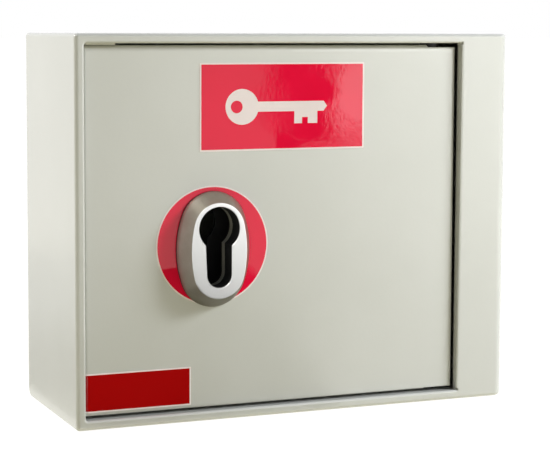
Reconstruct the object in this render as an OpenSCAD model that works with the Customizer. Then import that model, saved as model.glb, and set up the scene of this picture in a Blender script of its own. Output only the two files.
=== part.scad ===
// Wall-mounted emergency key box of painted sheet steel, with a recessed door,
// a sliding bolt lock prepared for a profile cylinder, and an oval escutcheon.
// Millimetres. X runs to the right, Y to the back, Z up.
// The origin is the middle of the whole box's outline on the plane that it stands on.

/* [Casing] */
// Outer width of the casing
body_w = 197; // [185:1:230]
// Outer height of the casing
body_h = 160; // [150:1:200]
// Outer depth of the casing
body_d = 75; // [65:1:110]
// Thickness of the casing plate, seen as the narrow rim round the door
plate = 4; // [3:0.5:5]
// Thickness of the back plate
back_t = 3; // [2:0.5:5]
// Width of the front strip that hides the hinge
stile_w = 23.2; // [21:0.1:28]
// Outer radius of the fold between the right wall and the front strip
bend_r = 4.5; // [4:0.5:8]
// Radius of the ground edges and corners of the casing
edge_r = 1.3; // [0.8:0.1:1.8]
// Radius of the casing's upper rear edge
back_top_r = 1.4; // [0.5:0.1:3]
// Radius of the casing's lower rear edge
back_low_r = 4.4; // [0.5:0.1:5]
// Radius of the corners of the door opening
open_corner_r = 1.2; // [0.6:0.1:1.5]

/* [Wall fixing] */
// Distance between the wall holes across the box
wall_hole_dx = 110; // [104:1:120]
// Distance between the wall holes up the box
wall_hole_dz = 100; // [80:1:110]
// Radius of each wall hole
wall_hole_r = 4.25; // [3:0.25:5]

/* [Door] */
// How far the door's face lies behind the front of the casing
door_recess = 3; // [2:0.1:4]
// Thickness of the door sheet
door_sheet = 3; // [2:0.5:3.5]
// Depth of the door pan over its folded edges
door_depth = 15; // [14:0.5:18]
// Outer radius of the folds round the door
door_bend_r = 3; // [2.5:0.1:4]
// Gap above and below the door
gap_z = 0.8; // [0.6:0.1:1.2]
// Gap beside the door at the lock
gap_lock = 1; // [0.8:0.1:1.4]
// Gap beside the door at the hinge
gap_hinge = 0.8; // [0.6:0.1:1.2]

/* [Hinge] */
// Distance from the door's hinge edge to the axis
axis_in = 9.5; // [9:0.1:10]
// Distance from the door's face back to the axis
axis_back = 8; // [7.5:0.1:8.5]
// Radius of the hinge pins
pin_r = 2.5; // [2:0.1:2.5]
// Radial running clearance of the pins in the door's lugs
pin_clear = 0.05; // [0.03:0.01:0.1]
// Thickness of the door's lugs
lug_t = 4; // [3:0.5:5]
// Height of the spacer rings above and below the lugs
spacer_h = 3.9; // [3.6:0.1:5]
// How much of each door flange is cut away beside a pin
flange_cut = 14; // [13.8:0.1:15]

/* [Lock] */
// Distance from the door's lock edge to the cylinder
backset = 54.5; // [52:0.5:65]
// Height of the cylinder's plug above the bottom of the casing
lock_z = 80.6; // [70:0.1:90]
// Radius of the round part of the profile cut-out
profile_r = 8.85; // [8.6:0.05:9]
// Width of the web of the profile cut-out
profile_web = 10.75; // [10.2:0.05:11]
// Height of the whole profile cut-out
profile_h = 33.2; // [32.6:0.1:34]
// Distance that the bolt slides out
bolt_throw = 13; // [10:0.5:13.5]
// Thickness of the bolt
bolt_t = 8; // [6:0.5:8.5]
// Height of the bolt's head
bolt_h = 12; // [10:0.5:14]
// Depth of the lock case with its cover
case_d = 18; // [17:0.5:22]
// Thickness of the case and of its cover
case_t = 1.2; // [1:0.1:2]
// Reach of the keeper from the casing's wall
keeper_reach = 13; // [11:0.5:14]
// Thickness of the keeper
keeper_t = 4; // [3:0.5:4]

/* [Escutcheon] */
// Height of the escutcheon from its base to its face
esc_h = 8.3; // [6:0.1:12]
// How far the escutcheon's middle lies below the plug
esc_drop = 9.2; // [8:0.1:10]
// How far the escutcheon's screws lie below the plug
esc_screw_drop = 14.6; // [13:0.1:16]
// Half the distance between the escutcheon's screws
esc_screw_dx = 10.2; // [9.8:0.1:10.6]

/* [Stickers] */
// Thickness of the stickers
film = 0.2; // [0.1:0.05:0.3]
// Width of the sign above the lock
sign_w = 74.5; // [50:0.5:90]
// Height of the sign above the lock
sign_h = 36.4; // [20:0.1:38]
// Distance from the door's lock edge to the sign
sign_in = 48.8; // [40:0.1:60]
// Distance from the door's top edge down to the sign
sign_down = 7.2; // [5:0.1:10]
// Radius of the disc behind the escutcheon
disc_r = 24.7; // [24:0.1:26]
// How far the middle of the disc lies below the plug
disc_drop = 7.7; // [7:0.1:9]
// Width of the small corner label along the door's face
label_w = 45; // [30:0.5:60]
// Height of the small corner label
label_h = 14.8; // [8:0.1:18]

/* [Key rail] */
// Length of the key rail
rail_w = 84; // [78:1:88]
// Height of the key rail
rail_h = 16; // [12:1:20]
// Distance from the top of the casing down to the middle of the rail
rail_down = 30; // [24:1:50]
// Space between the rail and the back plate
rail_stand = 8; // [4:0.5:12]
// Distance between neighbouring key hooks
hook_pitch = 17; // [14:0.5:17]
// Reach of each hook in front of the rail
hook_reach = 14; // [10:0.5:18]
// Radius of the hook wire
hook_r = 1.4; // [1:0.1:1.8]

/* [Hidden] */
$fn = 64;
// Overlap that lets a cutting shape pass clean through a face
cut = 1;
// Clearance between parts that slide on each other
slide = 0.15;
// Clearance of a screw in a plain hole
screw_clear = 0.2;
// Small gap between the door at rest and what stops it
rest_gap = 0.3;

// Door opening and door pan, measured from the casing's front lower left corner
open_x = body_w - stile_w;
door_x0 = plate + gap_lock;
door_x1 = open_x - gap_hinge;
door_z0 = plate + gap_z;
door_z1 = body_h - plate - gap_z;
door_y = door_recess;
door_back = door_y + door_sheet;
flange_end = door_y + door_depth;
door_w = door_x1 - door_x0;
door_h = door_z1 - door_z0;
// Height by which the face stands above the cut end of the flange
flange_lip = 1;

// Depth of the whole box with the escutcheon, and the casing's place along Y
esc_face = door_y - film - esc_h;
front_y = -(body_d + esc_face) / 2;

// Hinge axis and what turns on it
hinge_x = door_x1 - axis_in;
hinge_y = door_y + axis_back;
spacer_r = 4;
lug_r = 4.8;
lug_gap = 0.1;
lug_low = plate + spacer_h + lug_gap;
lug_high = body_h - plate - spacer_h - lug_gap - lug_t;
pin_past = 2;

// Stickers
disc_cut_clear = 0.2;
label_up = 0.1;

// Profile cut-out
lock_x = door_x0 + backset;
web_z = lock_z + profile_r - profile_h + profile_web / 2;

// Keeper on the casing's wall, and the bolt behind it
keeper_gap = 1;
keeper_y = door_back + keeper_gap;
keeper_end = plate + keeper_reach;
keeper_over = 2;
keeper_corner_r = 3;
keeper_notch_gap = 1.5;
bolt_behind = 0.5;
bolt_y = keeper_y + keeper_t + bolt_behind;
bolt_back = 3;
bolt_x0 = keeper_end + bolt_back;
bolt_over_profile = 0.55;
bolt_z = lock_z + profile_r + bolt_over_profile;
bolt_tip_chamfer = 1;

// Tabs that the door rests against
stop_in = 28;
stop_reach = 10;
stop_h = 12;
stop_t = 4;
stop_corner_r = 2;
buffer_w = 12.5;
buffer_d = 9;
buffer_front = 1.5;
buffer_t = 0.65;

// Guide posts, and the slots of the bolt that slide on them
post_r = 2.5;
post_seat_r = 4;
slot_r = post_r + slide;
slot_web = 2.7;
notch_w = 11;
notch_h = 6.4;
notch_web = 1.95;
notch_x = lock_x + bolt_throw / 2;
bolt_rim = 3;
bolt_shows = 1;
head_spare = 0.8;
case_x0 = bolt_x0 + bolt_shows;
head_x1 = case_x0 + case_t + bolt_throw + head_spare;
post_1 = head_x1 + bolt_rim + slot_r;
post_2 = post_1 + bolt_throw + 2 * slot_r + slot_web;
slot_z = bolt_z + notch_h + notch_web + slot_r;
tail_x1 = max(post_2 + bolt_throw + slot_r, notch_x + notch_w / 2) + bolt_rim;
tail_z1 = slot_z + slot_r + bolt_rim;

// Lock case, its studs and its cover
case_beside = 4;
case_below = 32.6;
case_above = 10.5;
case_x1 = tail_x1 + case_beside;
case_z0 = lock_z - case_below;
case_z1 = tail_z1 + case_above;
case_corner_r = 3;
case_y1 = door_back + case_d - case_t;
cover_y1 = door_back + case_d;
stud_in = 6;
stud_r = 2;
stud_places = [for (x = [case_x0 + stud_in, case_x1 - stud_in], z = [case_z0 + stud_in, case_z1 - stud_in]) [x, z]];
spacer_tube_r = 3.5;
washer_t = 0.8;
washer_r = 4.5;
nut_af = 7;
nut_t = 3.2;
stud_past = 1.2;

// Detent spring over the bolt
spring_t = 0.5;
spring_w = 6;
spring_y = bolt_y + (bolt_t - spring_w) / 2;
spring_in = 24.5;
spring_run = 20;
spring_foot = 4;
spring_tip_x = bolt_x0 + spring_in;
spring_top = case_z1 - case_t;
rivet_x = spring_tip_x + spring_run;
rivet_r = 1.5;
rivet_head_r = 2.6;
rivet_head_h = 1;
detent_r = 1.3;
detent_up = 0.3;

// Fixing screw for the profile cylinder
fix_r = 2.5;
fix_drop = 19.6;
fix_z = lock_z - fix_drop;
fix_y = door_y + door_depth / 2 + 2;
fix_head_r = 4.6;
fix_head_h = 2.3;
fix_head_rim = 0.4;
fix_sunk = 0.1;
fix_short = 0.5;

// Screws of the escutcheon, the cover and the rail
esc_screw_r = 2;
esc_screw_head_r = 3.8;
esc_screw_head_h = 2.4;
esc_thread = 4.2;
thread_spare = 0.5;
cover_screw_r = 1.5;
cover_screw_deep = 6;
cover_screw_head_r = 2.8;
cover_screw_head_h = 1.8;
rail_screw_r = 2;
rail_screw_head_r = 3.6;
rail_screw_head_h = 2.2;
rail_screw_sunk = 0.5;

// Key rail
rail_t = 1.5;
rail_foot = 12;
back_y = body_d - back_t;
rail_x = body_w / 2;
rail_z = body_h - rail_down;
rail_screw_dx = (rail_w - rail_foot + rail_t) / 2;
rail_y = back_y - rail_stand - rail_t;
hook_bend = 4;
hook_tip = 5;
hook_collar_r = 2.6;
hook_collar_t = 1;

paint = [0.82, 0.81, 0.77];
red = [0.80, 0.10, 0.20];
dark_red = [0.62, 0.03, 0.04];
nickel = [0.66, 0.63, 0.57];
zinc = [0.72, 0.73, 0.75];
steel = [0.55, 0.56, 0.58];
brass = [0.76, 0.62, 0.36];
dark = [0.36, 0.35, 0.32];

// Moves a shape that is measured from the casing's corner to its place round the origin
module from_corner() {
    translate([-body_w / 2, front_y, 0]) children();
}

// Plain block between two corners
module block(low, high) {
    translate(low) cube(high - low);
}

// Flat outline in X and Z, given a thickness from y0 to y1
module along_y(y0, y1) {
    translate([0, y1, 0]) rotate([90, 0, 0]) linear_extrude(y1 - y0) children();
}

// Flat outline in Y and Z, given a length from x0 to x1
module along_x(x0, x1) {
    translate([x0, 0, 0]) rotate([90, 0, 90]) linear_extrude(x1 - x0) children();
}

// Round bar along Y, from y0 to y1
module bar_y(x, z, r, y0, y1) {
    along_y(y0, y1) translate([x, z]) circle(r);
}

// What a rounded corner at the outline's origin takes away
module corner_nick(r) {
    difference() {
        translate([-cut, -cut]) square(r + cut);
        translate([r, r]) circle(r);
    }
}

// Rectangle with its own radius at each corner, counted round from the low corner
module soft_rect(w, h, r) {
    difference() {
        square([w, h]);
        if (r[0] > 0) corner_nick(r[0]);
        if (r[1] > 0) translate([w, 0]) mirror([1, 0]) corner_nick(r[1]);
        if (r[2] > 0) translate([w, h]) rotate(180) corner_nick(r[2]);
        if (r[3] > 0) translate([0, h]) mirror([0, 1]) corner_nick(r[3]);
    }
}

// Profile cut-out, grown by g, as an outline in X and Z
module profile_outline(g = 0) {
    translate([lock_x, lock_z]) circle(profile_r + g);
    translate([lock_x - profile_web / 2 - g, web_z]) square([profile_web + 2 * g, lock_z - web_z]);
    translate([lock_x, web_z]) circle(profile_web / 2 + g);
}

// Outer body of the casing with its folded and ground edges
module casing_block() {
    fold_x = body_w - bend_r;
    intersection() {
        linear_extrude(body_h) soft_rect(body_w, body_d, [edge_r, bend_r, edge_r, edge_r]);
        along_y(0, body_d) soft_rect(body_w, body_h, [edge_r, edge_r, edge_r, edge_r]);
        along_x(0, body_w) soft_rect(body_d, body_h, [edge_r, back_low_r, back_top_r, edge_r]);
        union() {
            block([-cut, -cut, -cut], [fold_x, body_d + cut, body_h + cut]);
            block([fold_x, bend_r, -cut], [body_w + cut, body_d + cut, body_h + cut]);
            translate([fold_x, bend_r, 0]) rotate_extrude() soft_rect(bend_r, body_h, [0, edge_r, edge_r, 0]);
        }
    }
}

module casing_shell() {
    inner_w = body_w - 2 * plate;
    inner_h = body_h - 2 * plate;
    color(paint) from_corner() difference() {
        casing_block();
        translate([plate, plate, plate])
            linear_extrude(inner_h) soft_rect(inner_w, body_d, [0, max(bend_r - plate, edge_r), 0, 0]);
        along_y(-cut, plate + cut) translate([plate, plate])
            soft_rect(open_x - plate, inner_h, [open_corner_r, open_corner_r, open_corner_r, open_corner_r]);
        translate([hinge_x, hinge_y, -cut]) cylinder(r = pin_r, h = body_h + 2 * cut);
    }
}

module back_plate() {
    color(paint) from_corner() difference() {
        block([plate, back_y, plate], [body_w - plate, body_d, body_h - plate]);
        for (sx = [-1, 1], sz = [-1, 1])
            bar_y(body_w / 2 + sx * wall_hole_dx / 2, body_h / 2 + sz * wall_hole_dz / 2,
                wall_hole_r, back_y - cut, body_d + cut);
        for (sx = [-1, 1])
            bar_y(rail_x + sx * rail_screw_dx, rail_z, rail_screw_r, back_y - cut, body_d + cut);
    }
}

// Pin from z0 to z1 on the hinge axis, with a small lead at its free end
module hinge_pin(z0, z1, lead_at_top) {
    lead = 0.6;
    translate([hinge_x, hinge_y, z0])
        if (lead_at_top) {
            cylinder(r = pin_r, h = z1 - z0 - lead);
            translate([0, 0, z1 - z0 - lead]) cylinder(r1 = pin_r, r2 = pin_r - lead, h = lead);
        } else {
            translate([0, 0, lead]) cylinder(r = pin_r, h = z1 - z0 - lead);
            cylinder(r1 = pin_r - lead, r2 = pin_r, h = lead);
        }
}

module upper_hinge_pin() {
    color(steel) from_corner() hinge_pin(lug_high - pin_past, body_h, false);
}

module lower_hinge_pin() {
    color(steel) from_corner() hinge_pin(0, lug_low + lug_t + pin_past, true);
}

module hinge_spacer(z0) {
    translate([hinge_x, hinge_y, z0]) difference() {
        cylinder(r = spacer_r, h = spacer_h);
        translate([0, 0, -cut]) cylinder(r = pin_r + pin_clear, h = spacer_h + 2 * cut);
    }
}

module upper_hinge_spacer() {
    color(dark) from_corner() hinge_spacer(body_h - plate - spacer_h);
}

module lower_hinge_spacer() {
    color(dark) from_corner() hinge_spacer(plate);
}

// Tab welded to the inside of the lock-side wall, which the bolt slides behind
module bolt_keeper() {
    h = bolt_h + 2 * keeper_over;
    r = keeper_corner_r;
    color(paint) from_corner() along_y(keeper_y, keeper_y + keeper_t)
        translate([plate, bolt_z - keeper_over]) soft_rect(keeper_reach, h, [0, r, r, 0]);
}

// Tab that the door's folded edge comes to rest against
module door_stop(z) {
    r = stop_corner_r;
    along_y(flange_end + rest_gap, flange_end + rest_gap + stop_t)
        translate([plate, z - stop_h / 2]) soft_rect(stop_reach, stop_h, [0, r, r, 0]);
}

module upper_door_stop() {
    color(paint) from_corner() door_stop(body_h - stop_in);
}

module lower_door_stop() {
    color(paint) from_corner() door_stop(stop_in);
}

// Thin pad glued under the top wall, which keeps the door's free corner from rattling
module top_buffer() {
    z = body_h - plate - buffer_t;
    color(dark) from_corner() translate([0, 0, z]) linear_extrude(buffer_t)
        translate([door_x0, buffer_front]) soft_rect(buffer_w, buffer_d, [0, 1, 1, 0]);
}

// Strip folded so that its middle stands in front of the back plate
module key_rail() {
    half = rail_w / 2;
    step = half - rail_foot;
    color(paint) from_corner() translate([rail_x, back_y, rail_z - rail_h / 2]) difference() {
        linear_extrude(rail_h) polygon([
            [-half, 0], [-step, 0], [-step, -rail_stand], [step, -rail_stand], [step, 0], [half, 0],
            [half, -rail_t], [step + rail_t, -rail_t], [step + rail_t, -rail_stand - rail_t],
            [-step - rail_t, -rail_stand - rail_t], [-step - rail_t, -rail_t], [-half, -rail_t]
        ]);
        for (sx = [-1, 1])
            bar_y(sx * rail_screw_dx, rail_h / 2, rail_screw_r + screw_clear, -rail_t - cut, cut);
        for (i = [1:4])
            bar_y((i - 2.5) * hook_pitch, rail_h / 2, hook_r, -rail_stand - rail_t - cut, -rail_stand + cut);
    }
}

module key_rail_screws() {
    color(zinc) from_corner() for (sx = [-1, 1]) {
        x = rail_x + sx * rail_screw_dx;
        bar_y(x, rail_z, rail_screw_r, back_y - rail_t, body_d - rail_screw_sunk);
        bar_y(x, rail_z, rail_screw_head_r, back_y - rail_t - rail_screw_head_h, back_y - rail_t);
    }
}

// Bent wire hook, riveted into the rail
module key_hook(i) {
    run = hook_reach - hook_bend - hook_r;
    color(zinc) from_corner() translate([rail_x + (i - 2.5) * hook_pitch, rail_y, rail_z]) {
        bar_y(0, 0, hook_r, -run, rail_t);
        bar_y(0, 0, hook_collar_r, -hook_collar_t, 0);
        bar_y(0, 0, hook_collar_r, rail_t, rail_t + hook_collar_t);
        translate([0, -run, hook_bend]) rotate([0, 90, 0])
            rotate_extrude(angle = -90) translate([hook_bend, 0]) circle(hook_r);
        translate([0, -run - hook_bend, hook_bend]) cylinder(r = hook_r, h = hook_tip);
        translate([0, -run - hook_bend, hook_bend + hook_tip]) sphere(hook_r);
    }
}

// Outline of the door pan seen from above, grown by g on its outside
module pan_plan(g) {
    r = door_bend_r + g;
    translate([door_x0 - g, door_y - g]) soft_rect(door_w + 2 * g, door_depth + g, [r, r, 0, 0]);
}

module door_panel() {
    notch_low = bolt_z - keeper_over - keeper_notch_gap;
    notch_high = bolt_z + bolt_h + keeper_over + keeper_notch_gap;
    color(paint) from_corner() difference() {
        intersection() {
            translate([0, 0, door_z0]) linear_extrude(door_h) pan_plan(0);
            along_x(door_x0, door_x1) translate([door_y, door_z0])
                soft_rect(door_depth, door_h, [door_bend_r, 0, 0, door_bend_r]);
        }
        block([door_x0 + door_sheet, door_back, door_z0 + door_sheet],
            [door_x1 - door_sheet, flange_end + cut, door_z1 - door_sheet]);
        // Upper and lower folds cut back beside the hinge pins
        for (side = [0, 1]) translate([0, 0, side * body_h]) mirror([0, 0, side]) {
            block([door_x1 - flange_cut, door_back, door_z0 - cut],
                [door_x1 + cut, flange_end + cut, door_z0 + door_sheet]);
            block([door_x1 - flange_cut, door_y - cut, door_z0 - cut],
                [door_x1 + cut, flange_end + cut, door_z0 + flange_lip]);
        }
        // Gap in the lock-side fold for the bolt and its keeper
        block([door_x0 - cut, door_back, notch_low], [door_x0 + door_sheet + cut, flange_end + cut, notch_high]);
        along_y(door_y - cut, door_back + cut) profile_outline();
        for (sx = [-1, 1])
            bar_y(lock_x + sx * esc_screw_dx, lock_z - esc_screw_drop, esc_screw_r + screw_clear,
                door_y - cut, door_back + cut);
        fix_screw_shape(door_x0 - cut, slide);
    }
}

// Lug welded behind the door's face, with the bore that turns on the pin
module hinge_lug(z0) {
    translate([0, 0, z0]) difference() {
        union() {
            translate([hinge_x, hinge_y, 0]) cylinder(r = lug_r, h = lug_t);
            block([hinge_x - lug_r, door_back, 0], [door_x1 - door_sheet, hinge_y, lug_t]);
            block([hinge_x, hinge_y, 0], [door_x1 - door_sheet, hinge_y + lug_r, lug_t]);
        }
        translate([hinge_x, hinge_y, -cut]) cylinder(r = pin_r + pin_clear, h = lug_t + 2 * cut);
    }
}

module upper_hinge_lug() {
    color(paint) from_corner() hinge_lug(lug_high);
}

module lower_hinge_lug() {
    color(paint) from_corner() hinge_lug(lug_low);
}

module sign_label() {
    x = door_x0 + sign_in;
    z = door_z1 - sign_down - sign_h;
    color(red) from_corner() block([x, door_y - film, z], [x + sign_w, door_y, z + sign_h]);
}

module lock_disc() {
    color(red) from_corner() along_y(door_y - film, door_y) difference() {
        translate([lock_x, lock_z - disc_drop]) circle(disc_r);
        profile_outline(disc_cut_clear);
        for (sx = [-1, 1])
            translate([lock_x + sx * esc_screw_dx, lock_z - esc_screw_drop]) circle(esc_screw_r + screw_clear);
    }
}

// Thin label that follows the door's face and wraps round its lock-side fold
module corner_label() {
    z = door_z0 + door_bend_r + label_up;
    color(dark_red) from_corner() translate([0, 0, z]) linear_extrude(label_h) intersection() {
        difference() {
            pan_plan(film);
            pan_plan(0);
        }
        translate([door_x0 - cut, door_y - cut]) square([label_w + cut, door_bend_r + cut]);
    }
}

// Points of an oval with round ends and long curved sides, as the escutcheon's outline
function arc(cx, cz, r, a0, a1, n) = [for (i = [0:n - 1]) let (a = a0 + (a1 - a0) * i / n) [cx + r * cos(a), cz + r * sin(a)]];
function oval(end_r, side_r, end_z) =
    let (side_x = sqrt(pow(side_r - end_r, 2) - end_z * end_z), a = atan2(end_z, side_x), n = 9)
    concat(
        arc(-side_x, 0, side_r, -a, a, n), arc(0, end_z, end_r, a, 180 - a, 2 * n),
        arc(side_x, 0, side_r, 180 - a, 180 + a, n), arc(0, -end_z, end_r, 180 + a, 360 - a, 2 * n)
    );

module escutcheon() {
    base_t = 0.6;
    face_t = 0.3;
    base_y = door_y - film;
    color(nickel) from_corner() difference() {
        hull() {
            along_y(base_y - base_t, base_y)
                translate([lock_x, lock_z - esc_drop]) polygon(oval(14.4, 42.2, 9.6));
            along_y(esc_face, esc_face + face_t)
                translate([lock_x, lock_z - esc_drop]) polygon(oval(11, 50, 8.7));
        }
        along_y(esc_face - cut, base_y + cut) profile_outline();
        for (sx = [-1, 1])
            bar_y(lock_x + sx * esc_screw_dx, lock_z - esc_screw_drop, esc_screw_r, base_y - esc_thread, base_y + cut);
    }
}

module escutcheon_screws() {
    color(zinc) from_corner() for (sx = [-1, 1]) {
        x = lock_x + sx * esc_screw_dx;
        z = lock_z - esc_screw_drop;
        bar_y(x, z, esc_screw_r, door_y - film - esc_thread + thread_spare, door_back);
        bar_y(x, z, esc_screw_head_r, door_back, door_back + esc_screw_head_h);
    }
}

module lock_studs() {
    end = cover_y1 + washer_t + nut_t + stud_past;
    color(steel) from_corner() for (p = stud_places) bar_y(p[0], p[1], stud_r, door_back, end);
}

module lock_case() {
    w = case_x1 - case_x0;
    h = case_z1 - case_z0;
    r = case_corner_r;
    color(dark) from_corner() difference() {
        along_y(door_back, case_y1) translate([case_x0, case_z0]) soft_rect(w, h, [r, r, r, r]);
        along_y(door_back + case_t, case_y1 + cut) translate([case_x0 + case_t, case_z0 + case_t])
            soft_rect(w - 2 * case_t, h - 2 * case_t, [r - case_t, r - case_t, r - case_t, r - case_t]);
        along_y(door_back - cut, door_back + case_t + cut) profile_outline();
        for (p = stud_places)
            bar_y(p[0], p[1], stud_r + screw_clear, door_back - cut, door_back + case_t + cut);
        for (sx = [-1, 1])
            bar_y(lock_x + sx * esc_screw_dx, lock_z - esc_screw_drop, esc_screw_head_r + screw_clear,
                door_back - cut, door_back + case_t + cut);
        block([case_x0 - cut, bolt_y - slide, bolt_z - slide],
            [case_x0 + case_t + cut, bolt_y + bolt_t + slide, bolt_z + bolt_h + slide]);
        translate([case_x0 - cut, fix_y, fix_z]) rotate([0, 90, 0]) cylinder(r = fix_r + slide, h = case_t + 2 * cut);
        translate([rivet_x, spring_y + spring_w / 2, spring_top - cut]) cylinder(r = rivet_r, h = case_t + 2 * cut);
    }
}

module lock_cover() {
    r = case_corner_r;
    color(dark) from_corner() along_y(case_y1, cover_y1) difference() {
        translate([case_x0, case_z0]) soft_rect(case_x1 - case_x0, case_z1 - case_z0, [r, r, r, r]);
        profile_outline();
        for (p = stud_places) translate(p) circle(stud_r + screw_clear);
        for (x = [post_1, post_2]) translate([x, slot_z]) circle(cover_screw_r + screw_clear);
    }
}

// Tubes round the studs that keep the case and its cover apart
module stud_spacers() {
    color(steel) from_corner() along_y(door_back + case_t, case_y1) for (p = stud_places) translate(p) difference() {
        circle(spacer_tube_r);
        circle(stud_r + screw_clear);
    }
}

module lock_washers() {
    color(zinc) from_corner() along_y(cover_y1, cover_y1 + washer_t) for (p = stud_places) translate(p) difference() {
        circle(washer_r);
        circle(stud_r + screw_clear);
    }
}

module lock_nuts() {
    color(zinc) from_corner() along_y(cover_y1 + washer_t, cover_y1 + washer_t + nut_t)
        for (p = stud_places) translate(p) difference() {
            circle(nut_af / 2 / cos(30), $fn = 6);
            circle(stud_r);
        }
}

// Two posts riveted to the case, each with a seat for the bolt and a thread for the cover's screw
module bolt_guide_posts() {
    color(steel) from_corner() for (x = [post_1, post_2]) difference() {
        union() {
            bar_y(x, slot_z, post_r, door_back + case_t, case_y1);
            bar_y(x, slot_z, post_seat_r, door_back + case_t, bolt_y - slide);
        }
        bar_y(x, slot_z, cover_screw_r, case_y1 - cover_screw_deep - thread_spare, case_y1 + cut);
    }
}

module bolt_retaining_rings() {
    color(brass) from_corner() for (x = [post_1, post_2]) difference() {
        bar_y(x, slot_z, post_seat_r, bolt_y + bolt_t + slide, case_y1);
        bar_y(x, slot_z, post_r, bolt_y, case_y1 + cut);
    }
}

module lock_cover_screws() {
    color(zinc) from_corner() for (x = [post_1, post_2]) {
        bar_y(x, slot_z, cover_screw_r, case_y1 - cover_screw_deep, cover_y1);
        bar_y(x, slot_z, cover_screw_head_r, cover_y1, cover_y1 + cover_screw_head_h);
    }
}

// Leaf spring under the top of the case, whose tip holds the bolt at each end of its travel
module detent_spring() {
    tip_z = tail_z1 + rest_gap;
    path = [
        [rivet_x + spring_foot, spring_top - spring_t], [rivet_x - spring_foot, spring_top - spring_t],
        [spring_tip_x + 1, tip_z], [spring_tip_x - 1, tip_z], [spring_tip_x - 3, tip_z + 2]
    ];
    last = len(path) - 1;
    color(steel) from_corner() difference() {
        along_y(spring_y, spring_y + spring_w)
            polygon(concat(path, [for (i = [last:-1:0]) path[i] + [0, spring_t]]));
        translate([rivet_x, spring_y + spring_w / 2, spring_top - spring_t - cut])
            cylinder(r = rivet_r, h = spring_t + 2 * cut);
    }
}

module spring_rivet() {
    color(steel) from_corner() translate([rivet_x, spring_y + spring_w / 2, 0]) {
        translate([0, 0, spring_top - spring_t]) cylinder(r = rivet_r, h = spring_t + case_t);
        translate([0, 0, case_z1]) cylinder(r = rivet_head_r, h = rivet_head_h);
        translate([0, 0, spring_top - spring_t - rivet_head_h]) cylinder(r = rivet_head_r, h = rivet_head_h);
    }
}

// Countersunk screw along X whose head starts at x0, grown by g
module fix_screw_shape(x0, g) {
    rim_x = door_x0 + fix_sunk + fix_head_rim;
    neck_x = door_x0 + fix_sunk + fix_head_h;
    end_x = lock_x - profile_web / 2 - fix_short;
    translate([0, fix_y, fix_z]) rotate([0, 90, 0]) {
        translate([0, 0, x0]) cylinder(r = fix_head_r + g, h = rim_x - x0);
        translate([0, 0, rim_x]) cylinder(r1 = fix_head_r + g, r2 = fix_r + g, h = neck_x - rim_x);
        translate([0, 0, neck_x]) cylinder(r = fix_r + g, h = end_x - neck_x);
    }
}

module cylinder_fixing_screw() {
    color(zinc) from_corner() fix_screw_shape(door_x0 + fix_sunk, 0);
}

// Sliding bolt: a head that goes behind the keeper, two slots for the posts, a notch for the cam
module lock_bolt() {
    c = bolt_tip_chamfer;
    outline = [
        [bolt_x0, bolt_z], [tail_x1, bolt_z], [tail_x1, tail_z1], [head_x1, tail_z1],
        [head_x1, bolt_z + bolt_h], [bolt_x0, bolt_z + bolt_h]
    ];
    plan = [
        [bolt_x0 + c, bolt_y], [tail_x1, bolt_y], [tail_x1, bolt_y + bolt_t],
        [bolt_x0 + c, bolt_y + bolt_t], [bolt_x0, bolt_y + bolt_t - c], [bolt_x0, bolt_y + c]
    ];
    color(brass) from_corner() intersection() {
        along_y(bolt_y, bolt_y + bolt_t) difference() {
            polygon(outline);
            translate([notch_x - notch_w / 2, bolt_z - cut]) square([notch_w, notch_h + cut]);
            for (x = [post_1, post_2]) {
                translate([x, slot_z]) circle(slot_r);
                translate([x + bolt_throw, slot_z]) circle(slot_r);
                translate([x, slot_z - slot_r]) square([bolt_throw, 2 * slot_r]);
            }
            for (dx = [0, bolt_throw]) translate([spring_tip_x + dx, tail_z1 + detent_up]) circle(detent_r);
        }
        linear_extrude(body_h) polygon(plan);
    }
}

casing_shell();
back_plate();
upper_hinge_pin();
lower_hinge_pin();
upper_hinge_spacer();
lower_hinge_spacer();
bolt_keeper();
upper_door_stop();
lower_door_stop();
top_buffer();
key_rail();
key_rail_screws();
key_hook(1);  // key_hook_1
key_hook(2);  // key_hook_2
key_hook(3);  // key_hook_3
key_hook(4);  // key_hook_4
door_panel();
upper_hinge_lug();
lower_hinge_lug();
sign_label();
lock_disc();
corner_label();
escutcheon();
escutcheon_screws();
lock_studs();
lock_case();
lock_cover();
stud_spacers();
lock_washers();
lock_nuts();
bolt_guide_posts();
bolt_retaining_rings();
lock_cover_screws();
detent_spring();
spring_rivet();
cylinder_fixing_screw();
lock_bolt();
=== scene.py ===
from math import acos, atan2, cos, degrees, hypot, pi, radians, sin, sqrt

import bmesh
import bpy
from mathutils import Matrix, Vector


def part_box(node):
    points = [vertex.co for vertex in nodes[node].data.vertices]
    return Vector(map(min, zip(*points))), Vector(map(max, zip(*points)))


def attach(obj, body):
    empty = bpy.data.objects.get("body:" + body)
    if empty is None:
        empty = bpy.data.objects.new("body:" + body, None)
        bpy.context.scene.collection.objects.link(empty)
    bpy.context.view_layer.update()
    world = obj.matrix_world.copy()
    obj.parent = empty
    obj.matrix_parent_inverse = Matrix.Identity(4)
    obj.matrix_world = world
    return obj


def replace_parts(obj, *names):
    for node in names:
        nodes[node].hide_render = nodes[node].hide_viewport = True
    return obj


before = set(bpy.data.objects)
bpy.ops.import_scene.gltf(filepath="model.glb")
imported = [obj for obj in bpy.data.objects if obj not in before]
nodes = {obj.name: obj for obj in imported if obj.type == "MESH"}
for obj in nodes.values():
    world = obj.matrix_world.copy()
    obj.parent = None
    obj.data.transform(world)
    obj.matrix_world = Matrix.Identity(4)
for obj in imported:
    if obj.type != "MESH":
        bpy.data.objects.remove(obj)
bpy.context.view_layer.update()


# Camera: it stands to the left of the box, level with its top, and looks slightly down.
# Its place and lens were solved from the straight edges of the casing in the photograph.
MM = 0.001
casing_low, casing_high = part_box("casing_shell")


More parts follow.
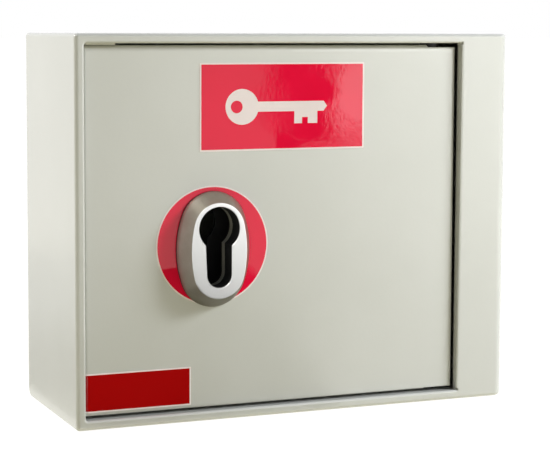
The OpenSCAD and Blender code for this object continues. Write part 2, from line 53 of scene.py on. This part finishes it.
def from_corner(x, y, z):
    """A point measured in millimetres from the casing's front lower left corner."""
    return casing_low + Vector((x, y, z)) * MM


PHOTO_W, PHOTO_H = 550, 454
focal_px = 1705.15
centre_px = (229.25, 191.43)
sensor_mm = 36
to_right = Vector((0.9292, -0.36956, 0.00249))
ahead = Vector((0.36815, 0.925, -0.09405))
upward = to_right.cross(ahead)
lens = bpy.data.cameras.new("camera")
lens.sensor_width = sensor_mm
lens.lens = focal_px / PHOTO_W * sensor_mm
lens.shift_x = (PHOTO_W / 2 - centre_px[0]) / PHOTO_W
lens.shift_y = (centre_px[1] - PHOTO_H / 2) / PHOTO_W
lens.clip_start = 0.05
camera = bpy.data.objects.new("camera", lens)
bpy.context.scene.collection.objects.link(camera)
stand = from_corner(-192.5, -648.83, 161.22)
turned = Matrix((to_right, upward, -ahead)).transposed().to_4x4()
camera.matrix_world = Matrix.Translation(stand) @ turned
bpy.context.scene.camera = camera
bpy.context.scene.view_settings.view_transform = "Standard"


# Studio: a pale floor that runs back out of sight, white to the camera and warm where it lights
# the box. A key lamp at the upper right and a side lamp at the left light the paint. Three more
# lamps, two black cards and a pale one are there for gloss alone.
class Tone:
    """One value of a finish, as it varies over the surface. Sums on it add Math nodes."""

    def __init__(self, finish, socket):
        self.finish = finish
        self.socket = socket

    def math(self, operation, *values, clamp=False):
        settings = {"operation": operation, "use_clamp": clamp}
        return self.finish.node("Math", settings, dict(enumerate(values)))

    def __add__(self, other):
        return self.math("ADD", self, other)

    def __radd__(self, other):
        return self.math("ADD", other, self)

    def __sub__(self, other):
        return self.math("SUBTRACT", self, other)

    def __rsub__(self, other):
        return self.math("SUBTRACT", other, self)

    def __mul__(self, other):
        return self.math("MULTIPLY", self, other)

    def __rmul__(self, other):
        return self.math("MULTIPLY", other, self)

    def step(self, low, high):
        """Rises softly from 0 at low to 1 at high."""
        settings = {"interpolation_type": "SMOOTHSTEP"}
        return self.finish.node("MapRange", settings, {"Value": self, "From Min": low, "From Max": high})


class Finish:
    """A material that is built up from nodes."""

    def __init__(self, owner):
        owner.use_nodes = True
        self.tree = owner.node_tree
        self.tree.nodes.clear()

    def node(self, kind, settings=None, inputs=None, output=0):
        made = self.tree.nodes.new("ShaderNode" + kind)
        for name, value in (settings or {}).items():
            setattr(made, name, value)
        for name, value in (inputs or {}).items():
            self.feed(made.inputs[name], value)
        return Tone(self, made.outputs[output]) if len(made.outputs) else None

    def feed(self, socket, value):
        if isinstance(value, Tone):
            self.tree.links.new(value.socket, socket)
        elif isinstance(value, tuple) and socket.type == "RGBA":
            socket.default_value = (*value, 1)
        else:
            socket.default_value = value

    def place(self):
        """Where the point is on the object at rest, in metres."""
        return self.node("TexCoord", output="Object")

    def part(self, vector, axis):
        return self.node("SeparateXYZ", None, {"Vector": vector}, axis)

    def noise(self, where, scale, detail=2.0, rough=0.5):
        values = {"Vector": where, "Scale": scale, "Detail": detail, "Roughness": rough}
        return self.node("TexNoise", None, values)

    def blend(self, amount, first, second):
        """Colour that goes from first to second as amount goes from 0 to 1."""
        values = {0: amount, 6: first, 7: second}
        return self.node("Mix", {"data_type": "RGBA"}, values, 2)

    def bump(self, height, depth, strength=1.0):
        values = {"Height": height, "Distance": depth, "Strength": strength}
        return self.node("Bump", None, values)

    def surface(self, **values):
        """The finished surface, from the names of the shader's sockets with _ for a space."""
        shader = self.node("BsdfPrincipled", None, {k.replace("_", " "): v for k, v in values.items()})
        self.node("OutputMaterial", None, {"Surface": shader})


def seen_by_rays(owner):
    """The nodes of a backdrop, and 1 for what the camera, gloss and glass see of it."""
    finish = Finish(owner)
    rays = ("Is Camera Ray", "Is Glossy Ray", "Is Transmission Ray")
    path = [finish.node("LightPath", output=ray) for ray in rays]
    shown = path[0].math("ADD", path[0] + path[1], path[2], clamp=True)
    return finish, shown


def studio():
    world = bpy.data.worlds.new("studio")
    bpy.context.scene.world = world
    finish, shown = seen_by_rays(world)
    white = finish.node("Background", None, {"Color": (1.0, 1.0, 1.0), "Strength": 1.0})
    fill = finish.node("Background", None, {"Color": (1.0, 0.985, 0.93), "Strength": 0.15})
    sky = finish.node("MixShader", None, {0: shown, 1: fill, 2: white})
    finish.node("OutputWorld", None, {"Surface": sky})

    floor_material = bpy.data.materials.new("white_floor")
    finish, shown = seen_by_rays(floor_material)
    matt = finish.node("BsdfDiffuse", None, {"Color": (0.80, 0.77, 0.62)})
    away = finish.node("VectorMath", {"operation": "LENGTH"}, {0: finish.place()}, 1).step(0.2, 1.4)
    tint = finish.blend(shown, (1.0, 0.91, 0.42), (1.0, 1.0, 1.0))
    glow = finish.node("Emission", None, {"Color": tint, "Strength": 1.29 + 0.12 * away})
    # Part of it stays matt and takes the shadow, and the rest glows, most of all for the camera
    glow_share = 0.20 + 0.52 * shown
    face = finish.node("MixShader", None, {0: glow_share, 1: matt, 2: glow})
    finish.node("OutputMaterial", None, {"Surface": face})
    reach = 30.0
    mesh = bpy.data.meshes.new("floor")
    corners = [(-reach, -reach, 0), (reach, -reach, 0), (reach, reach, 0), (-reach, reach, 0)]
    mesh.from_pydata(corners, [], [(0, 1, 2, 3)])
    mesh.materials.append(floor_material)
    floor = bpy.data.objects.new("floor", mesh)
    floor.location.z = -0.0002
    bpy.context.scene.collection.objects.link(floor)


def lamp(name, spot, aim, size, watts, tint, hidden_from=None):
    """A soft lamp that the camera doesn't see, with its size in metres."""
    light = bpy.data.lights.new(name, "AREA")
    light.shape = "RECTANGLE"
    light.size, light.size_y = size
    light.energy = watts
    light.color = tint
    holder = bpy.data.objects.new(name, light)
    holder.location = spot
    holder.rotation_euler = (Vector(aim) - Vector(spot)).to_track_quat("-Z", "Y").to_euler()
    holder.visible_camera = False
    if hidden_from:
        setattr(holder, "visible_" + hidden_from, False)
    bpy.context.scene.collection.objects.link(holder)


def card(name, corners, tone):
    """A matt sheet that only gloss reflects, from black at 0 to white at 1."""
    mesh = bpy.data.meshes.new(name)
    mesh.from_pydata(corners, [], [(0, 1, 2, 3)])
    material = bpy.data.materials.new("card_matt")
    finish = Finish(material)
    matt = finish.node("BsdfDiffuse", None, {"Color": (tone, tone, tone)})
    finish.node("OutputMaterial", None, {"Surface": matt})
    mesh.materials.append(material)
    sheet = bpy.data.objects.new(name, mesh)
    sheet.visible_camera = False
    sheet.visible_diffuse = False
    sheet.visible_shadow = False
    sheet.visible_transmission = False
    bpy.context.scene.collection.objects.link(sheet)


studio()
white_light = (1.0, 1.0, 1.0)
lamp(
    "key_lamp", spot=(0.72, -0.44, 0.50), aim=(0.45, -0.1, -0.3), size=(0.35, 0.30),
    watts=9.6, tint=(0.905, 0.94, 1.0), hidden_from="glossy",
)
lamp(
    "gloss_lamp", spot=(1.05, -1.32, 0.50), aim=(0.05, 0.0, 0.09), size=(0.9, 1.0),
    watts=6.4, tint=white_light, hidden_from="diffuse",
)
lamp(
    "floor_gloss", spot=(0.66, -0.80, 0.004), aim=(0.66, -0.80, 1.0), size=(0.6, 1.1),
    watts=3.4, tint=white_light, hidden_from="diffuse",
)
lamp(
    "side_lamp", spot=(-0.70, 0.40, 0.62), aim=(-0.09, -0.01, 0.10), size=(0.4, 0.4),
    watts=6.1, tint=(0.985, 0.99, 0.985),
)
lamp(
    "glint_lamp", spot=(-0.44, -0.24, 0.73), aim=(-0.04, -0.04, 0.07), size=(0.20, 0.20),
    watts=1.0, tint=(1.0, 0.98, 0.94), hidden_from="diffuse",
)
black, pale = 0.02, 0.9
over_floor = 0.001
card(
    "tall_card",
    [(0.577, -1.41, 0.0), (0.657, -1.39, 0.0), (0.657, -1.39, 1.2), (0.577, -1.41, 1.2)],
    black,
)
for name, plan, tone in (
    ("low_card", ((-0.12, -0.037), (0.02, -0.037), (0.15, -0.45), (-0.05, -0.45)), black),
    ("side_card", ((-0.8, -0.1), (-0.103, -0.1), (-0.103, 0.5), (-0.8, 0.5)), pale),
):
    card(name, [(x, y, over_floor) for x, y in plan], tone)


# Paint: the casing, the door and what is welded to them are sprayed in one pale grey enamel.
# It dries with a faint orange peel and pools a little, so gloss and tone drift over each wall.
def enamel():
    material = bpy.data.materials.new("grey_enamel")
    finish = Finish(material)
    where = finish.place()
    drift = finish.noise(where, 14.0, 3.0)
    peel = finish.noise(where, 620.0, 2.0, 0.4)
    dust = finish.noise(where, 2600.0, 1.0)
    tone = finish.blend(drift.step(0.3, 0.7), (0.612, 0.618, 0.584), (0.652, 0.658, 0.629))
    finish.surface(
        Base_Color=tone,
        Roughness=0.30 + 0.10 * drift + 0.04 * dust,
        Specular_IOR_Level=0.8,
        Coat_Weight=1.0,
        Coat_Roughness=0.22,
        Normal=finish.bump(peel, 0.00006, 0.35),
    )
    return material


def repaint(material, *names):
    """Gives the material to whole nodes of the frame."""
    for name in names:
        mesh = nodes[name].data
        for place in range(len(mesh.materials)):
            mesh.materials[place] = material


paint = enamel()
repaint(
    paint, "casing_shell", "back_plate", "bolt_keeper", "upper_door_stop", "lower_door_stop",
    "key_rail", "door_panel", "upper_hinge_lug", "lower_hinge_lug",
)


# Casing: four walls of 4 mm plate, the right one folded round the front into the strip beside the
# door. The outer edges are ground rounder than the inner ones, and all of it is sprayed.
def finish_mesh(name, work, material, body, sharp=30.0):
    """Closes off a mesh in the making: faces outwards, soft shading, material, body and slot.
    An edge that turns by more than the angle sharp, in degrees, stays crisp."""
    bmesh.ops.recalc_face_normals(work, faces=work.faces)
    for edge in work.edges:
        edge.smooth = edge.calc_face_angle(0.0) < radians(sharp)
    for face in work.faces:
        face.smooth = True
    mesh = bpy.data.meshes.new(name)
    work.to_mesh(mesh)
    work.free()
    mesh.materials.append(material)
    piece = bpy.data.objects.new(name, mesh)
    bpy.context.scene.collection.objects.link(piece)
    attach(piece, body)
    return piece


def even_normals(piece):
    """Lets the large faces rule the shading, so that the flats look flat beside the folds."""
    weighted = piece.modifiers.new("even_normals", "WEIGHTED_NORMAL")
    weighted.keep_sharp = True


def skirt(work, low, high):
    """The faces that join two rings of as many points."""
    following = [*range(1, len(low)), 0]
    return [work.faces.new((low[i], low[j], high[j], high[i])) for i, j in enumerate(following)]


def slab(corners, low_z, high_z):
    """A block with the given outline in X and Y, in millimetres."""
    work = bmesh.new()
    rows = [[work.verts.new(from_corner(x, y, z)) for x, y in corners] for z in (low_z, high_z)]
    for row in rows:
        work.faces.new(row)
    skirt(work, *rows)
    bmesh.ops.recalc_face_normals(work, faces=work.faces)
    return work


# How near a point lies to a plane that it counts as on it, and how near to another to be one
# with it, in millimetres.
NEAR, JOINED = 0.01, 0.002


def round_off(work, radius, segments, **where):
    """Rounds the sharp edges that lie at the given x, y or z, in millimetres, or all of them."""
    picked = []
    for edge in work.edges:
        ends = [(vert.co - casing_low) / MM for vert in edge.verts]
        there = all(abs(getattr(end, axis) - at) < NEAR for end in ends for axis, at in where.items())
        if edge.calc_face_angle(0.0) > radians(30) and there:
            picked.append(edge)
    bmesh.ops.bevel(
        work, geom=picked, offset=radius * MM, segments=segments, profile=0.5,
        affect="EDGES", clamp_overlap=False, miter_outer="SHARP",
    )


def as_object(name, work):
    """A passing object that holds a mesh in the making for cut_away."""
    mesh = bpy.data.meshes.new(name)
    work.to_mesh(mesh)
    work.free()
    made = bpy.data.objects.new(name, mesh)
    bpy.context.scene.collection.objects.link(made)
    return made


def cut_away(body, cutters):
    """The mesh of body less the cutters, which are then thrown away."""
    for cutter in cutters:
        cut = body.modifiers.new("cut", "BOOLEAN")
        cut.object = cutter
        cut.solver = "EXACT"
    graph = bpy.context.evaluated_depsgraph_get()
    work = bmesh.new()
    work.from_mesh(body.evaluated_get(graph).to_mesh())
    for made in (body, *cutters):
        bpy.data.objects.remove(made)
    return work


def casing_skin():
    body_w, body_d, body_h = (casing_high - casing_low) / MM
    plate = 4.0
    open_x = 173.8
    outside = slab([(0, 0), (body_w, 0), (body_w, body_d), (0, body_d)], 0, body_h)
    fold_r, low_back_r, left_r, ground_r = 4.5, 4.4, 1.7, 1.6
    round_off(outside, fold_r, 10, x=body_w, y=0)
    round_off(outside, low_back_r, 8, y=body_d, z=0)
    round_off(outside, left_r, 6, x=0, y=0)
    round_off(outside, ground_r, 5)

    over = 5.0
    space = [
        (plate, -over), (open_x, -over), (open_x, plate), (body_w - plate, plate),
        (body_w - plate, body_d + over), (plate, body_d + over),
    ]
    inside = slab(space, plate, body_h - plate)
    corner_r = 1.0
    for x in (plate, open_x, body_w - plate):
        for z in (plate, body_h - plate):
            round_off(inside, corner_r, 4, x=x, z=z)

    pin_x, pin_y, pin_r = 163.5, 11.0, 2.5
    through = 200.0
    bore = bmesh.new()
    bmesh.ops.create_cone(
        bore, cap_ends=True, segments=48, radius1=pin_r * MM, radius2=pin_r * MM, depth=through * MM,
        matrix=Matrix.Translation(from_corner(pin_x, pin_y, body_h / 2)),
    )

    work = cut_away(
        as_object("casing", outside), [as_object("space", inside), as_object("pin_bore", bore)]
    )
    bmesh.ops.remove_doubles(work, verts=work.verts, dist=JOINED * MM)
    strip_r, arris_r = 0.2, 1.0
    round_off(work, strip_r, 3, x=open_x, y=0)
    round_off(work, arris_r, 5, y=0)
    return finish_mesh("casing_skin", work, paint, "casing", sharp=60.0)


skin = casing_skin()
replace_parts(skin, "casing_shell")
even_normals(skin)


# Door: 3 mm sheet folded back on four sides into a pan. The folds at the left and at the bottom
# are pressed tight, so the face stays flat almost to its edge there.
door_x0, door_z0 = 4.6, 5.2
door_y = 3.0
tight_r = 1.3


def door_skin():
    """The solid's own mesh, with its left and bottom folds drawn tight and shifted a little."""
    solid_x0, solid_z0, solid_r = 5.0, 4.8, 3.0
    on_fold, slack = 0.03, 0.001
    work = bmesh.new()
    work.from_mesh(nodes["door_panel"].data)
    bmesh.ops.remove_doubles(work, verts=work.verts, dist=JOINED * MM)
    for vert in work.verts:
        spot = (vert.co - casing_low) / MM
        moved = spot.copy()
        along = door_y + solid_r - spot.y
        for axis, solid_edge, edge in (("z", solid_z0, door_z0), ("x", solid_x0, door_x0)):
            across = solid_edge + solid_r - getattr(spot, axis)
            rounded = along > slack and across > -slack
            if rounded and abs(hypot(across, along) - solid_r) < on_fold:
                turn = atan2(across, along)
                setattr(moved, axis, edge + tight_r * (1 - sin(turn)))
                moved.y = door_y + tight_r * (1 - cos(turn))
            elif abs(getattr(spot, axis) - solid_edge) < NEAR:
                setattr(moved, axis, edge)
        vert.co = from_corner(*moved)
    return finish_mesh("door_skin", work, paint, "door", sharp=35.0)


door = door_skin()
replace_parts(door, "door_panel")
even_normals(door)


# Bright zinc: the key hooks and all the screws, nuts and washers are zinc plated.
# The plating is slightly cloudy and has a faint blue and straw tint.
def zinc_plate():
    material = bpy.data.materials.new("zinc_plate")
    finish = Finish(material)
    where = finish.place()
    cloud = finish.noise(where, 55.0, 4.0, 0.6)
    spangle = finish.noise(where, 900.0, 2.0)
    tint = finish.blend(cloud.step(0.35, 0.65), (0.62, 0.66, 0.70), (0.71, 0.69, 0.61))
    finish.surface(
        Base_Color=tint,
        Metallic=1.0,
        Roughness=0.26 + 0.16 * cloud + 0.05 * spangle,
        Normal=finish.bump(spangle, 0.00003, 0.3),
    )
    return material


zinc = zinc_plate()
repaint(
    zinc, "key_rail_screws", "key_hook_1", "key_hook_2", "key_hook_3", "key_hook_4",
    "escutcheon_screws", "lock_washers", "lock_nuts", "lock_cover_screws", "cylinder_fixing_screw",
)


# Lock case and cover: pressed steel, blackened in a hot bath, with a dull bloom.
# Behind the cut-out they leave the hole dark. The same black is also used as painted shade on the
# escutcheon, on the side of its foot and on the wall of its hole.
def blackened_steel_and_painted_shade():
    material = bpy.data.materials.new("blackened_steel_and_painted_shade")
    finish = Finish(material)
    where = finish.place()
    bloom = finish.noise(where, 70.0, 4.0, 0.6)
    grain = finish.noise(where, 1800.0, 2.0)
    finish.surface(
        Base_Color=finish.blend(bloom.step(0.3, 0.7), (0.010, 0.010, 0.011), (0.026, 0.026, 0.028)),
        Roughness=0.36 + 0.22 * bloom + 0.06 * grain,
        Normal=finish.bump(grain, 0.00003, 0.4),
    )
    return material


blackened_and_painted_shade = blackened_steel_and_painted_shade()
repaint(blackened_and_painted_shade, "lock_case", "lock_cover")


# Plain turned steel, lightly oiled: pins, studs, posts and the leaf spring. Fine rings from the
# lathe show in its gloss. The pins' ends lie in the top and bottom walls and are sprayed with them.
def turned_steel():
    material = bpy.data.materials.new("turned_steel")
    finish = Finish(material)
    where = finish.place()
    oil = finish.noise(where, 120.0, 3.0)
    rings = finish.noise(where, 3000.0, 1.0)
    tint = finish.blend(oil, (0.26, 0.255, 0.245), (0.36, 0.355, 0.34))
    half = (casing_high.z - casing_low.z) / 2
    from_middle = (finish.part(where, 2) - (casing_low.z + half)).math("ABSOLUTE")
    end_t = 2 * MM
    sprayed = from_middle.step(half - end_t, half - 0.95 * end_t)
    enamel_tone = (0.632, 0.638, 0.606)
    finish.surface(
        Base_Color=finish.blend(sprayed, tint, enamel_tone),
        Metallic=1.0 - sprayed,
        Roughness=0.28 + 0.2 * oil,
        Normal=finish.bump(rings, 0.00002, 0.4),
    )
    return material


steel = turned_steel()
repaint(
    steel, "upper_hinge_pin", "lower_hinge_pin", "lock_studs", "stud_spacers",
    "bolt_guide_posts", "detent_spring", "spring_rivet",
)


# Brass: the sliding bolt is sawn from flat bar, the rings are turned.
# Handling has dulled it unevenly.
def dull_brass():
    material = bpy.data.materials.new("dull_brass")
    finish = Finish(material)
    where = finish.place()
    tarnish = finish.noise(where, 90.0, 4.0, 0.6)
    grain = finish.noise(where, 2200.0, 2.0)
    tint = finish.blend(tarnish.step(0.3, 0.75), (0.66, 0.46, 0.19), (0.40, 0.26, 0.11))
    finish.surface(
        Base_Color=tint,
        Metallic=1.0,
        Roughness=0.27 + 0.22 * tarnish,
        Normal=finish.bump(grain, 0.00002, 0.35),
    )
    return material


brass = dull_brass()
repaint(brass, "bolt_retaining_rings", "lock_bolt")


# Black nylon: the rings on the hinge pins, between the casing's walls and the door's lugs.
# They are turned from rod and run dry.
def black_nylon():
    material = bpy.data.materials.new("black_nylon")
    finish = Finish(material)
    grain = finish.noise(finish.place(), 900.0, 2.0)
    finish.surface(
        Base_Color=finish.blend(grain, (0.012, 0.012, 0.012), (0.022, 0.022, 0.021)),
        Roughness=0.42 + 0.16 * grain,
        Normal=finish.bump(grain, 0.00004, 0.4),
    )
    return material


nylon = black_nylon()
repaint(nylon, "upper_hinge_spacer", "lower_hinge_spacer")


# Buffer: a thin pad of pale grey rubber, cut from sheet.
# It is glued under the casing's top wall, above the door's free corner.
def grey_rubber():
    material = bpy.data.materials.new("grey_rubber")
    finish = Finish(material)
    where = finish.place()
    bloom = finish.noise(where, 400.0, 3.0)
    finish.surface(
        Base_Color=finish.blend(bloom, (0.56, 0.555, 0.50), (0.64, 0.635, 0.58)),
        Roughness=0.62 + 0.2 * bloom,
        Normal=finish.bump(bloom, 0.00005, 0.4),
    )
    return material


repaint(grey_rubber(), "top_buffer")


# Sign: red film printed on a pale carrier, which shows as a rim and as the key in its middle.
# It is stuck on the door's face above the lock.
def circle(cx, cz, r, start=0.0, end=360.0, count=48):
    """Points of an arc in millimetres, without its last point."""
    angles = [radians(start + (end - start) * i / count) for i in range(count)]
    return [(cx + r * cos(a), cz + r * sin(a)) for a in angles]


def soft_rectangle(x0, z0, x1, z1, r, count=6):
    corners = [
        (x1 - r, z0 + r, -90), (x1 - r, z1 - r, 0), (x0 + r, z1 - r, 90), (x0 + r, z0 + r, 180),
    ]
    outline = []
    for cx, cz, start in corners:
        end = start + 90
        outline += circle(cx, cz, r, start, end, count) + circle(cx, cz, r, end, end + 1, 1)
    return outline


def film(name, outlines, top, foot, material):
    """A flat sticker on the door between two heights over its face, from an outer outline and any
    holes, in millimetres."""
    work = bmesh.new()
    caps = ([], [])
    for outline in outlines:
        rows = [
            [work.verts.new(from_corner(x, door_y - height, z)) for x, z in outline]
            for height in (top, foot)
        ]
        for row, cap in zip(rows, caps):
            cap += [work.edges.new((row[i], row[(i + 1) % len(row)])) for i in range(len(row))]
        skirt(work, *rows)
    for cap in caps:
        bmesh.ops.triangle_fill(work, use_beauty=True, edges=cap)
    return finish_mesh(name, work, material, "door")


def vinyl(name, colour, deep):
    """Glossy cast film that lies on the paint with slow ripples, and crumpled in places."""
    material = bpy.data.materials.new(name)
    finish = Finish(material)
    where = finish.place()
    ripple = finish.noise(where, 38.0, 1.0)
    creased = finish.noise(where, 45.0, 1.0).step(0.38, 0.56)
    crumple = finish.noise(where, 560.0, 3.0, 0.65) * creased
    scuffs = finish.noise(where, 160.0, 3.0)
    finish.surface(
        Base_Color=finish.blend(ripple.step(0.3, 0.7), colour, deep),
        Roughness=0.018 + 0.03 * scuffs.step(0.55, 0.75),
        Normal=finish.bump(ripple + 0.22 * crumple, 0.0001, 1.0),
    )
    return material


red_film = vinyl("red_film", (0.93, 0.008, 0.054), (0.88, 0.006, 0.046))
carrier_film = vinyl("carrier_film", (0.97, 0.86, 0.87), (0.95, 0.84, 0.85))

# Heights over the door's face: the carrier's top, and the print's lower side and its top. The
# print reaches a little into the carrier, so that no gap shows between them. The disc and the
# corner label have the thicker print.
carrier_t, print_foot, print_top, thick_top = 0.15, 0.14, 0.18, 0.19

sign_x0, sign_x1, sign_z0, sign_z1 = 53.8, 128.3, 111.6, 148.0
sign_rim, sign_r, print_r = 0.7, 0.4, 0.2
key_z = (sign_z0 + sign_z1) / 2
bow_x, bow_r, eye_r, eye_off = 72.5, 7.4, 2.6, 2.4
blade_half, blade_end, blade_point = 2.1, 111.0, 1.5
bit_0, bit_1, bit_2, bit_3 = 96.0, 99.6, 102.2, 106.6
bit_drop, step_drop = 7.2, 4.6
bow_run = sqrt(bow_r**2 - blade_half**2)
bow_gap = degrees(acos(bow_run / bow_r))
key_outline = circle(bow_x, key_z, bow_r, bow_gap, 360 - bow_gap) + [
    (bow_x + bow_run, key_z - blade_half),
    (bit_0, key_z - blade_half), (bit_0, key_z - bit_drop),
    (bit_1, key_z - bit_drop), (bit_1, key_z - step_drop),
    (bit_2, key_z - step_drop), (bit_2, key_z - bit_drop),
    (bit_3, key_z - bit_drop), (bit_3, key_z - blade_half),
    (blade_end - blade_point, key_z - blade_half), (blade_end, key_z),
    (blade_end - blade_point, key_z + blade_half),
]
eye = circle(bow_x - eye_off, key_z, eye_r, count=32)
carrier_edge = soft_rectangle(sign_x0, sign_z0, sign_x1, sign_z1, sign_r)
print_edge = soft_rectangle(
    sign_x0 + sign_rim, sign_z0 + sign_rim, sign_x1 - sign_rim, sign_z1 - sign_rim, print_r
)
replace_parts(film("sign_carrier", [carrier_edge], carrier_t, 0.0, carrier_film), "sign_label")
film("sign_print", [print_edge, key_outline], print_top, print_foot, red_film)
film("sign_key_eye", [eye], print_top, print_foot, red_film)


# Disc: red film on the same pale carrier, punched round, with a cut-out for the cylinder.
# It lies between the door's face and the escutcheon, and frames it.
LOCK_X, LOCK_Z = 59.5, 80.6
PROFILE_R, PROFILE_WEB, PROFILE_H = 8.85, 10.75, 33.2


def profile_outline(grow=0.0):
    """Cut-out for the cylinder: a round part above a narrower web with a round end."""
    r = PROFILE_R + grow
    half = PROFILE_WEB / 2 + grow
    web_z = LOCK_Z + PROFILE_R - PROFILE_H + PROFILE_WEB / 2
    meet = degrees(acos(half / r))
    head = circle(LOCK_X, LOCK_Z, r, -meet, 180 + meet, 64)
    foot = circle(LOCK_X, web_z, half, 180, 360, 32)
    return head + foot + [(LOCK_X + half, web_z)]


disc_r, disc_rim, disc_drop = 24.7, 0.6, 7.7
disc_z = LOCK_Z - disc_drop
carrier_ring = [circle(LOCK_X, disc_z, disc_r, count=128), profile_outline(0.2)]
print_ring = [circle(LOCK_X, disc_z, disc_r - disc_rim, count=128), profile_outline(0.25)]
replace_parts(film("disc_carrier", carrier_ring, carrier_t, 0.0, carrier_film), "lock_disc")
film("disc_print", print_ring, thick_top, print_foot, red_film)


# Corner label: darker red film on a pale carrier, which shows as a rim.
# It is stuck in the lower corner of the door's face and pressed round its left fold.
def wrapped_film(name, rim, lift, material):
    """Film on the door's face and round its left fold, smaller by rim on every side. The stretch
    of it that lies left of the fold's start goes round the fold."""
    x0, x1, z0, z1 = 4.0 + rim, 50.0 - rim, 6.7 + rim, 22.7 - rim
    turns = 12
    start_x = door_x0 + tight_r
    last = min((start_x - x0) / tight_r, pi / 2)

    def side(height):
        """Its lower or upper side, from the left edge to the right one."""
        r = tight_r + height
        angles = [last * (1 - i / turns) for i in range(turns + 1)]
        fold = [(start_x - sin(a) * r, door_y + tight_r - cos(a) * r) for a in angles]
        return fold + [(x1, door_y - height)]

    path = side(lift)
    ring = path + side(0.0)[::-1]
    work = bmesh.new()
    rows = [[work.verts.new(from_corner(x, y, z)) for x, y in ring] for z in (z0, z1)]
    skirt(work, *rows)
    count = len(ring)
    for row in rows:
        for i in range(len(path) - 1):
            work.faces.new((row[i], row[i + 1], row[count - 2 - i], row[count - 1 - i]))
    return finish_mesh(name, work, material, "door")


dark_film = vinyl("dark_red_film", (0.44, 0.003, 0.003), (0.40, 0.002, 0.002))
label_rim = 0.6
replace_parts(wrapped_film("label_carrier", 0.0, carrier_t, carrier_film), "corner_label")
wrapped_film("label_print", label_rim, thick_top, dark_film)


# Escutcheon: a cast oval dome with a conical flank, ground flat on its face.
# The flank is blasted and nickel plated, and the face is bright.
def oval(end_r, side_r, end_z, inset=0.0, count=96):
    """Oval of two side arcs and two end arcs, as points ordered by the way they face."""
    side_x = sqrt((side_r - end_r) ** 2 - end_z**2)
    turn = degrees(atan2(end_z, side_x))
    points = []
    for i in range(count):
        a = 360.0 * i / count
        if a <= turn or a >= 360 - turn:
            cx, cz, r = -side_x, 0.0, side_r
        elif a < 180 - turn:
            cx, cz, r = 0.0, end_z, end_r
        elif a <= 180 + turn:
            cx, cz, r = side_x, 0.0, side_r
        else:
            cx, cz, r = 0.0, -end_z, end_r
        r -= inset
        points.append((cx + r * cos(radians(a)), cz + r * sin(radians(a))))
    return points


def nickel_plate():
    material = bpy.data.materials.new("satin_nickel")
    finish = Finish(material)
    where = finish.place()
    face_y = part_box("escutcheon")[0].y
    back = finish.part(where, 1).step(face_y + 0.00005, face_y + 0.0004)
    blast = finish.noise(where, 2400.0, 2.0)
    cloud = finish.noise(where, 120.0, 3.0)
    flank = finish.blend(cloud.step(0.3, 0.7), (0.31, 0.285, 0.238), (0.36, 0.335, 0.285))
    finish.surface(
        Base_Color=finish.blend(back, (0.80, 0.80, 0.79), flank),
        Metallic=1.0,
        Roughness=0.28 + 0.14 * back + 0.05 * blast,
        Normal=finish.bump(blast, 0.00003, 0.5),
    )
    return material


def escutcheon_shell():
    drop, disc_t = 9.2, 0.2
    middle_z = LOCK_Z - drop
    base_y, face_y = door_y - disc_t, -5.5
    # Of each oval: radius at its ends, radius at its sides, distance of the end arcs' centres
    base, face = (14.4, 42.2, 9.6), (11.0, 50.0, 8.7)
    foot, edge_r = 0.9, 0.35
    foot_y = base_y - foot

    def ring(y, share_y, inset=0.0):
        """Outline at the depth y, for the oval that the flank has at share_y."""
        share = (foot_y - share_y) / (foot_y - face_y)
        size = [b + (f - b) * share for b, f in zip(base, face)]
        return y, oval(*size, inset=inset)

    rings = [(base_y, oval(*base)), (foot_y, oval(*base))]
    lean = atan2(base[0] + base[2] - face[0] - face[2], foot_y - face_y)
    top_y = face_y + edge_r * (1 - sin(lean))
    flank_steps, edge_steps = 5, 4
    for i in range(1, flank_steps + 1):
        y = foot_y + (top_y - foot_y) * i / flank_steps
        rings.append(ring(y, y))
    for i in range(1, edge_steps + 1):
        a = lean + (pi / 2 - lean) * i / edge_steps
        rings.append(ring(face_y + edge_r * (1 - sin(a)), top_y, edge_r * (cos(lean) - cos(a))))

    # The thin side of the foot and the wall of the hole behind its bright edge take the black second
    # material. This is painted shade: a painted contact shadow along the foot, and painted shade inside
    # the hole.
    work = bmesh.new()
    rows = [
        [work.verts.new(from_corner(LOCK_X + x, y, middle_z + z)) for x, z in points]
        for y, points in rings
    ]
    chamfer = 0.25
    hole = [
        [work.verts.new(from_corner(x, y, z)) for x, z in profile_outline(grow)]
        for y, grow in ((face_y, chamfer), (face_y + chamfer, 0.0), (base_y, 0.0))
    ]
    for low, high in zip(rows, rows[1:]):
        for side in skirt(work, low, high):
            side.material_index = int(low is rows[0])
    for low, high in zip(hole, hole[1:]):
        for wall in skirt(work, low, high):
            wall.material_index = int(low is not hole[0])
    for outer, inner in ((rows[-1], hole[0]), (rows[0], hole[-1])):
        edges = []
        for row in (outer, inner):
            for i in range(len(row)):
                pair = (row[i], row[(i + 1) % len(row)])
                edges.append(work.edges.get(pair) or work.edges.new(pair))
        bmesh.ops.triangle_fill(work, use_beauty=True, edges=edges)
    piece = finish_mesh("escutcheon_dome", work, nickel_plate(), "door", sharp=35.0)
    # The black added here is painted shade for the foot's side and the hole's wall
    piece.data.materials.append(blackened_and_painted_shade)
    even_normals(piece)
    return piece


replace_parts(escutcheon_shell(), "escutcheon")

bpy.context.view_layer.update()
